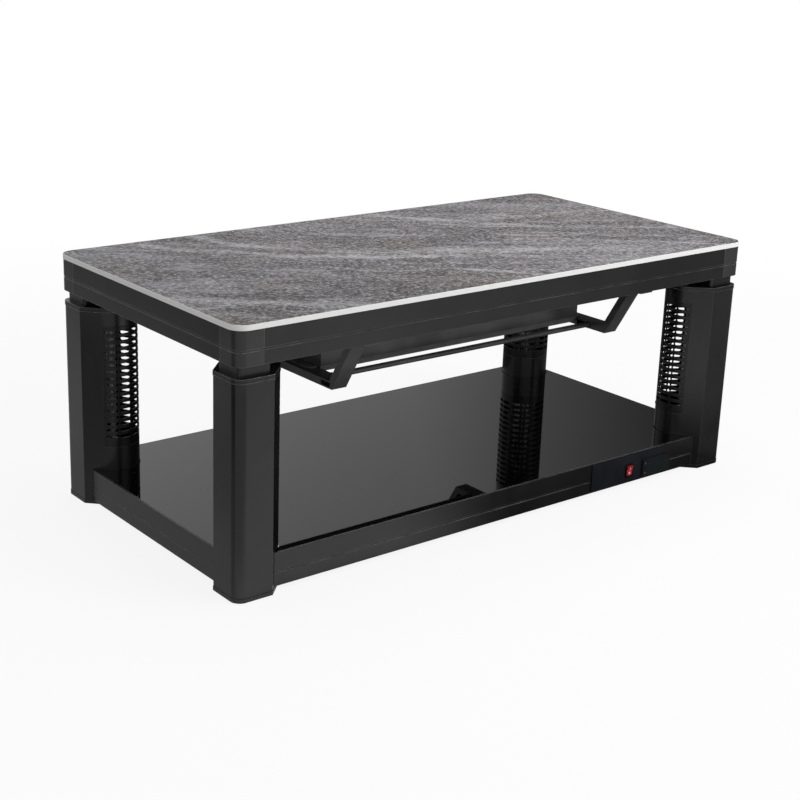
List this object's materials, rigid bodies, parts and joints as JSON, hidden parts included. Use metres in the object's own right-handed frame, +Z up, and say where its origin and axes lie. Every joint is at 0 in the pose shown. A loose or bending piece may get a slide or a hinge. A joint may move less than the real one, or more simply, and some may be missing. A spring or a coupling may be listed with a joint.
{
  "type": "heated low table",
  "caption": "Low rectangular table with a stone-look top, black frame, slotted heater legs, an under-top heater cradle and a black glass shelf.",
  "frame": {"origin": "middle of the footprint, on the floor", "axes": "+Z up, front with the controls faces -Y, long side along X"},
  "size_m": [1.2, 0.6, 0.47],
  "materials": {
    "stone_top": "satin printed stone face with a white edge",
    "board_wood": "black-faced fibreboard",
    "frame_paint": "satin black powder coat on extruded profile",
    "leg_paint": "satin black powder coat",
    "guard_paint": "satin black powder coat",
    "corner_plastic": "fine-grained black",
    "cap_plastic": "fine-grained black",
    "black_glass": "polished, back-painted black",
    "tube_glass": "clear quartz",
    "reflector_metal": "bright rolled sheet",
    "holder_ceramic": "unglazed white",
    "pad_rubber": "matt",
    "bolt_steel": "zinc plated",
    "screw_steel": "black oxide",
    "cradle_paint": "satin black powder coat",
    "plate_metal": "matt anodised",
    "panel_plastic": "fine matt, very dark blue-black",
    "switch_plastic": "fine matt",
    "rocker_red": "translucent red, lit from inside",
    "thermostat_plastic": "fine matt",
    "window_plastic": "smoked clear plastic",
    "button_plastic": "fine matt grey"
  },
  "bodies": {
    "table": {"table_top_slab": "stone_top", "backing_board": "board_wood", "apron_rail_front": "frame_paint", "apron_rail_back": "frame_paint", "apron_rail_left": "frame_paint", "apron_rail_right": "frame_paint", "base_rail_front": "frame_paint", "base_rail_back": "frame_paint", "base_rail_left": "frame_paint", "base_rail_right": "frame_paint", "neck_block_front_left": "frame_paint", "neck_block_front_right": "frame_paint", "neck_block_back_left": "frame_paint", "neck_block_back_right": "frame_paint", "leg_post_front_left": "leg_paint", "leg_post_front_right": "leg_paint", "leg_post_back_left": "leg_paint", "leg_post_back_right": "leg_paint", "leg_guard_front_left": "guard_paint", "leg_guard_front_right": "guard_paint", "leg_guard_back_left": "guard_paint", "leg_guard_back_right": "guard_paint", "apron_corner_front_left": "corner_plastic", "apron_corner_front_right": "corner_plastic", "apron_corner_back_left": "corner_plastic", "apron_corner_back_right": "corner_plastic", "leg_cap_front_left": "cap_plastic", "leg_cap_front_right": "cap_plastic", "leg_cap_back_left": "cap_plastic", "leg_cap_back_right": "cap_plastic", "leg_foot_front_left": "cap_plastic", "leg_foot_front_right": "cap_plastic", "leg_foot_back_left": "cap_plastic", "leg_foot_back_right": "cap_plastic", "shelf_glass": "black_glass", "heater_tube_front_left": "tube_glass", "heater_tube_front_right": "tube_glass", "heater_tube_back_left": "tube_glass", "heater_tube_back_right": "tube_glass", "leg_reflectors": "reflector_metal", "tube_holders": "holder_ceramic", "foot_pads": "pad_rubber", "leg_bolts": "bolt_steel", "leg_nuts": "bolt_steel", "guard_screws": "screw_steel", "hanger_screws": "screw_steel", "hanger_left": "cradle_paint", "hanger_right": "cradle_paint", "cradle_rods": "cradle_paint", "heater_tray": "cradle_paint", "radiant_plate": "plate_metal", "control_panel": "panel_plastic", "control_box": "panel_plastic", "cord_gland": "panel_plastic", "switch_housing": "switch_plastic", "thermostat_unit": "thermostat_plastic", "display_window": "window_plastic"},
    "rocker": {"switch_rocker": "rocker_red"},
    "button_up": {"thermostat_button_up": "button_plastic"},
    "button_down": {"thermostat_button_down": "button_plastic"}
  },
  "joints": [
    {"name": "power_switch", "type": "hinge", "parent": "table", "child": "rocker", "pos_m": [0.327, -0.2895, 0.037], "axis": [1, 0, 0], "range_deg": [-18, 0]},
    {"name": "button_up_press", "type": "slide", "parent": "table", "child": "button_up", "axis": [0, 1, 0], "range_m": [0, 0.0008], "stiffness_N_per_m": 200, "springref_m": -0.0005},
    {"name": "button_down_press", "type": "slide", "parent": "table", "child": "button_down", "axis": [0, 1, 0], "range_m": [0, 0.0008], "stiffness_N_per_m": 200, "springref_m": -0.0005}
  ]
}
